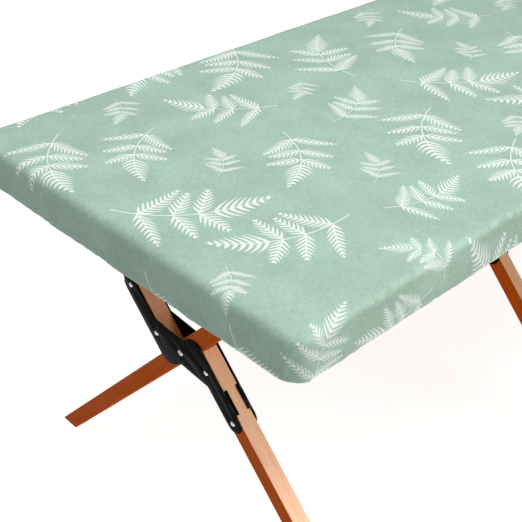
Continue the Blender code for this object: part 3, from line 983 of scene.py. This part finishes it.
def cornerUnrolled(flat):
    # the near left corner unrolled: along the hem both ways, then down over the fold
    ends, near = -(flat + np.array((cloth["halfLong"], cloth["halfWide"]))).T
    away = np.hypot(np.maximum(ends, 0.0), np.maximum(near, 0.0))
    flatRun = cloth["cornerRadius"] - cloth["foldRadius"]
    turn = np.clip((away - flatRun) / cloth["foldRadius"], 0.0, math.pi / 2)
    reach = np.minimum(away, flatRun) + cloth["foldRadius"] * np.sin(turn)
    eighth = reach * math.pi / 4
    side = np.where(ends > near, near - eighth, eighth - ends)
    down = np.maximum(ends, near)
    corner = (ends > 0.0) & (near > 0.0)
    side[corner] = (reach * np.arctan2(near, ends) - eighth)[corner]
    down[corner] = away[corner]
    return np.stack((side, down), 1)


def sprigBones():
    # straight runs through each feather, as shares of the sprig's length, with its half width
    bow = sprigShape["bow"]
    bones = [((0.0, 0.0), (0.3, -bow * 0.21), 0.01), ((0.3, -bow * 0.21), (0.62, -bow * 0.2356), 0.01),
             ((0.62, -bow * 0.2356), (0.8, -bow * 0.16), 0.12), ((0.8, -bow * 0.16), (1.02, 0.01), 0.09)]
    for start, hollowSide, bowedSide in sprigShape["pairs"]:
        for side, (turn, length) in ((1.0, hollowSide), (-1.0, bowedSide)):
            points = []
            for share in (0.0, 0.5, 1.0):
                s = start + length * share * math.cos(math.radians(turn))
                d = side * length * share * math.sin(math.radians(turn))
                points.append((s, d - bow * s * (1.0 - s)))
            bones.append((points[0], points[1], sprigShape["sideWide"]))
            bones.append((points[1], points[2], sprigShape["sideWide"]))
    return bones


def nearestSprig(unrolled, sprigs):
    best = np.full(len(unrolled[0]), 1e9)
    chosen = np.full(len(unrolled[0]), -1)
    for number, (which, start, middle, matrix, length) in enumerate(sprigs):
        close = np.flatnonzero(np.linalg.norm(unrolled[which] - middle, axis=1) < length * 1.1)
        local = (unrolled[which][close] - start) @ matrix
        gap = np.full(len(local), 1e9)
        for first, second, wide in sprigBones():
            first, run = np.array(first), np.array(second) - np.array(first)
            share = np.clip((local - first) @ run / (run @ run), 0.0, 1.0)
            gap = np.minimum(gap, np.linalg.norm(local - first - share[:, None] * run, axis=1) - wide)
        gap *= length
        better = gap < best[close]
        best[close[better]] = gap[better]
        chosen[close[better]] = number
    chosen[best > 0.02] = -1
    return chosen


def printMap(mesh, loopFlat, faceOfLoop):
    # gives each face the coordinates of its nearest sprig
    count = np.bincount(faceOfLoop)
    middle = np.stack([np.bincount(faceOfLoop, column) / count for column in loopFlat.T], 1)
    sprigs = allSprigs()
    chosen = nearestSprig((middle, cornerUnrolled(middle)), sprigs)[faceOfLoop]
    unrolled = (loopFlat, cornerUnrolled(loopFlat))
    values = np.tile(np.array(printPlan["none"]), (len(loopFlat), 1))
    for number in set(chosen.tolist()) - {-1}:
        rows = chosen == number
        which, start, middle, matrix, length = sprigs[number]
        values[rows] = (unrolled[which][rows] - start) @ matrix
    addMap(mesh, "frondMap", values)
    print("sprigs printed:", len(set(chosen.tolist()) - {-1}))


def thickened(mesh, thick):
    # both faces of the cloth and its cut edge; the second half of the faces is the inner side
    places = placesOf(mesh)
    normals = normalsOf(mesh)
    count = len(places)
    both = np.concatenate((places + normals * thick / 2, places - normals * thick / 2))
    faces = [tuple(polygon.vertices) for polygon in mesh.polygons]
    inner = [tuple(index + count for index in reversed(face)) for face in faces]
    edges = [edge for face in faces for edge in zip(face, face[1:] + face[:1])]
    known = set(edges)
    rim = [(second, second + count, first + count, first)
           for first, second in edges if (second, first) not in known]
    flat = flatPlaces(mesh)
    made = bpy.data.meshes.new("tablecloth_sheet")
    made.from_pydata(both.tolist(), [], faces + inner + rim)
    made.shade_smooth()
    return made, np.concatenate((flat, flat)), len(faces)


def bakeMap(mesh, loopFlat, faceOfLoop, outerCount):
    # the two sides of the cloth one above the other in one square map
    span = 2 * (np.abs(loopFlat).max(0) + 0.002)
    unit = loopFlat / span[0]
    share = span[1] / span[0]
    inner = faceOfLoop >= outerCount
    values = np.stack((unit[:, 0] + 0.5, unit[:, 1] + share / 2), 1)
    values[inner, 1] += share
    values[:, 1] /= max(1.0, 2 * share)
    addMap(mesh, "OFBake", values)


def makeTablecloth():
    piece, held = clothCut()
    drapeOver(piece, held)
    finer = piece.modifiers.new("finer", "SUBSURF")
    finer.levels = 1
    finer.render_levels = 1
    finer.uv_smooth = "NONE"
    applied(piece)
    creaseCloth(piece.data)
    made, flat, outerCount = thickened(piece.data, cloth["thick"])
    old = piece.data
    piece.data = made
    bpy.data.meshes.remove(old)
    totals = valuesOf(made.polygons, "loop_total", 1, np.int32)
    faceOfLoop = np.repeat(np.arange(len(made.polygons)), totals)
    loopFlat = flat[valuesOf(made.loops, "vertex_index", 1, np.int32)]
    addMap(made, "clothCut", loopFlat)
    printMap(made, loopFlat, faceOfLoop)
    bakeMap(made, loopFlat, faceOfLoop, outerCount)
    made.materials.append(finish["cloth"])
    made.materials.append(finish["clothBack"])
    slots = (np.arange(len(made.polygons)) >= outerCount).astype(np.int32)
    made.polygons.foreach_set("material_index", slots)
    print("tablecloth:", len(made.polygons), "faces")
    return piece


def aroundTop(spacing):
    # base places and outward directions all the way round the cloth
    halfX = cloth["halfLong"]
    halfY = cloth["halfWide"]
    found = []
    for turn, baseX, baseY, run in ((-90.0, -halfX, -halfY, 2 * halfX), (0.0, halfX, -halfY, 2 * halfY),
                                    (90.0, halfX, halfY, 2 * halfX), (180.0, -halfX, halfY, 2 * halfY)):
        steps = round(cloth["cornerRadius"] * math.pi / 2 / spacing)
        for step in range(steps):
            angle = math.radians(turn - 90.0 + 90.0 * step / steps)
            found.append((baseX, baseY, math.cos(angle), math.sin(angle)))
        outX, outY = math.cos(math.radians(turn)), math.sin(math.radians(turn))
        steps = round(run / spacing)
        for step in range(steps):
            past = run * step / steps
            found.append((baseX - outY * past, baseY + outX * past, outX, outY))
    return found


stitches = {
    "above": 0.0105,          # above the hem
    "spacing": 0.0034,
    "long": 0.0024,
    "radius": 0.00028,
}


def makeStitches(piece):
    tree = bvhtree.BVHTree.FromObject(piece, bpy.context.evaluated_depsgraph_get())
    bm = bmesh.new()
    for baseX, baseY, outX, outY in aroundTop(stitches["spacing"]):
        down = cloth["drop"] - stitches["above"]
        start = Vector(clothPoint(baseX, baseY, outX, outY, cloth["cornerRadius"] + 0.02, down))
        spot, normal, index, far = tree.ray_cast(start, Vector((-outX, -outY, 0.0)))
        if spot is None:
            continue
        along = Vector((-outY, outX, 0.0))
        turn = Matrix((along, normal, along.cross(normal))).transposed().to_4x4()
        placing = Matrix.Translation(spot + normal * stitches["radius"] * 0.35) @ turn
        size = Matrix.Diagonal((stitches["long"] / 2, stitches["radius"], stitches["radius"] * 1.15, 1.0))
        bmesh.ops.create_icosphere(bm, subdivisions=1, radius=1.0, matrix=placing @ size)
    return meshPiece("hem_stitches", bm, smooth=True)


elastic = {"steps": 0.006, "ribs": 3, "thick": 0.0009, "above": 0.0030, "high": 0.0060}


def makeElastic():
    bm = bmesh.new()
    rings = []
    count = 2 * elastic["ribs"]
    for baseX, baseY, outX, outY in aroundTop(elastic["steps"]):
        ring = []
        for side in (1.0, -1.0):
            for rib in range(count + 1):
                share = rib / count if side > 0 else 1.0 - rib / count
                half = elastic["thick"] / 2 * (1.0 if rib % 2 else 0.7)
                down = cloth["drop"] - elastic["above"] - elastic["high"] * share
                out = cloth["cornerRadius"] - cloth["hemTurn"] + half * side
                ring.append(bm.verts.new(clothPoint(baseX, baseY, outX, outY, out, down)))
        rings.append(ring)
    for before, after in zip(rings, rings[1:] + rings[:1]):
        bridge(bm, before, after)
    bmesh.ops.recalc_face_normals(bm, faces=bm.faces)
    return meshPiece("hem_elastic_band", bm, smooth=True)


slatNames = [f"slat_{number:02d}" for number in range(1, 16)]
tablecloth = makeTablecloth()
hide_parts("tablecloth")
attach(tablecloth, "tablecloth")
hemStitches = makeStitches(tablecloth)
hemStitches.data.materials.append(finish["thread"])
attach(hemStitches, "tablecloth")
hemElastic = makeElastic()
hemElastic.data.materials.append(finish["elastic"])
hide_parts("hem_elastic")
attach(hemElastic, "tablecloth")
print("tablecloth dressed")


strap = {"rib": 0.0002, "sink": 0.0006, "sinkReach": 0.008, "step": 0.010, "ribs": 5}


def makeStrap(name, node):
    low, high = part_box(node)
    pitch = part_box("slat_02")[0].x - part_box("slat_01")[0].x
    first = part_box("slat_01")[0].x + pitch
    bm = bmesh.new()
    rings = []
    steps = round((high.x - low.x) / strap["step"])
    for step in range(steps + 1):
        x = low.x + (high.x - low.x) * step / steps
        gap = abs((x - first + pitch / 2) % pitch - pitch / 2)
        bulge = strap["sink"] / 2 * math.exp(-(gap / strap["sinkReach"]) ** 2)
        ring = []
        for side, z in ((1.0, high.z), (-1.0, low.z)):
            for rib in range(2 * strap["ribs"] + 1):
                share = rib / (2 * strap["ribs"])
                y = low.y + (high.y - low.y) * (share if side > 0 else 1.0 - share)
                inwards = strap["rib"] if rib % 2 else 0.0
                ring.append(bm.verts.new((x, y, z - side * inwards - (bulge if side < 0 else 0.0))))
        rings.append(ring)
    for before, after in zip(rings, rings[1:]):
        bridge(bm, before, after)
    bm.faces.new(rings[0])
    bm.faces.new(rings[-1][::-1])
    bmesh.ops.recalc_face_normals(bm, faces=bm.faces)
    piece = meshPiece(name, bm)
    piece.data.materials.append(finish["webbing"])
    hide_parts(node)
    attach(piece, "tabletop")


makeStrap("near_strap_webbing", "near_strap")
makeStrap("far_strap_webbing", "far_strap")
print("straps made")


plateShape = {"rounding": 0.0004, "segments": 2, "roundedFrom": 50.0, "sharpFrom": 40.0}

pinShape = {
    "headHigh": 0.46,         # shares of the head's radius
    "shank": 0.56,
    "dimpleWide": 0.18,
    "rimWide": 0.96,
    "dimpleDeep": 0.25,       # shares of the head's height
    "rimDown": 1.12,
    "underside": 1.15,
    "domeSteps": 8,
    "sides": 28,
    "sharpFrom": 50.0,
}


def setFinish(node, key):
    piece = cadNodes[node]
    piece.data.materials.clear()
    piece.data.materials.append(finish[key])


def bevelledCopy(node, name, width, key):
    bm = bmesh.new()
    bm.from_mesh(cadNodes[node].data)
    bmesh.ops.remove_doubles(bm, verts=bm.verts, dist=1e-6)
    bmesh.ops.dissolve_limit(bm, angle_limit=math.radians(2.0), verts=bm.verts, edges=bm.edges)
    piece = meshPiece(name, bm)
    rounding = piece.modifiers.new("rounding", "BEVEL")
    rounding.width = width
    rounding.segments = plateShape["segments"]
    rounding.limit_method = "ANGLE"
    rounding.angle_limit = math.radians(plateShape["roundedFrom"])
    applied(piece)
    piece.data.shade_smooth()
    piece.data.set_sharp_from_angle(angle=math.radians(plateShape["sharpFrom"]))
    piece.data.materials.clear()
    piece.data.materials.append(finish[key])
    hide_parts(node)
    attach(piece, cadNodes[node]["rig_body"])


def turnedPin(node, name, key, dimple):
    # a round pin along X with domed heads, fitted to the CAD pin's own box
    low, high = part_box(node)
    middle = (low + high) / 2.0
    headRadius = (high.y - low.y) / 2.0
    half = (high.x - low.x) / 2.0
    headHigh = headRadius * pinShape["headHigh"]
    profile = []
    for step in range(pinShape["domeSteps"] + 1):
        turn = math.pi / 2 * step / pinShape["domeSteps"]
        profile.append((half - headHigh * (1.0 - math.cos(turn)), headRadius * math.sin(turn)))
    if dimple:
        dimpleFloor = half - headHigh * pinShape["dimpleDeep"]
        profile[0] = (dimpleFloor, 0.0)
        profile.insert(1, (dimpleFloor, headRadius * pinShape["dimpleWide"]))
    profile.append((half - headHigh * pinShape["rimDown"], headRadius * pinShape["rimWide"]))
    profile.append((half - headHigh * pinShape["underside"], headRadius * pinShape["shank"]))
    outline = profile + [(-along, radius) for along, radius in profile[::-1]]
    bm = bmesh.new()
    rings = []
    for along, radius in outline:
        ring = []
        for side in range(pinShape["sides"] if radius > 0.0 else 1):
            turn = 2 * math.pi * side / pinShape["sides"]
            offset = Vector((along, radius * math.cos(turn), radius * math.sin(turn)))
            ring.append(bm.verts.new(middle + offset))
        rings.append(ring)
    for before, after in zip(rings, rings[1:]):
        bridge(bm, before, after)
    bmesh.ops.recalc_face_normals(bm, faces=bm.faces)
    piece = meshPiece(name, bm, smooth=True)
    piece.data.set_sharp_from_angle(angle=math.radians(pinShape["sharpFrom"]))
    piece.data.materials.append(finish[key])
    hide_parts(node)
    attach(piece, cadNodes[node]["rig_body"])


def dressFrames():
    for place in ("left", "middle", "right"):
        setFinish(f"{place}_whole_leg", "crossing")
        for half in ("lower", "upper"):
            setFinish(f"{place}_{half}_leg", "leaning")
        for side in ("outer", "inner"):
            bevelledCopy(f"{place}_{side}_plate", f"{place}_{side}_hinge_plate", plateShape["rounding"],
                         "plate")
        turnedPin(f"{place}_pivot_bolt", f"{place}_pivot_bolt_round", "bolt", True)
        for rivet in ("low_near", "low_far", "up_near", "up_far"):
            turnedPin(f"{place}_{rivet}_rivet", f"{place}_{rivet}_rivet_round", "rivet",
                      False)
        for rail in ("near", "far"):
            setFinish(f"{place}_{rail}_rail_screw", "bolt")
    setFinish("near_rail", "rail")
    setFinish("far_rail", "rail")
    for name in slatNames:
        setFinish(name, "slat")


dressFrames()
print("frames dressed")
makeCamera()
makeLamps()
makeFloor()
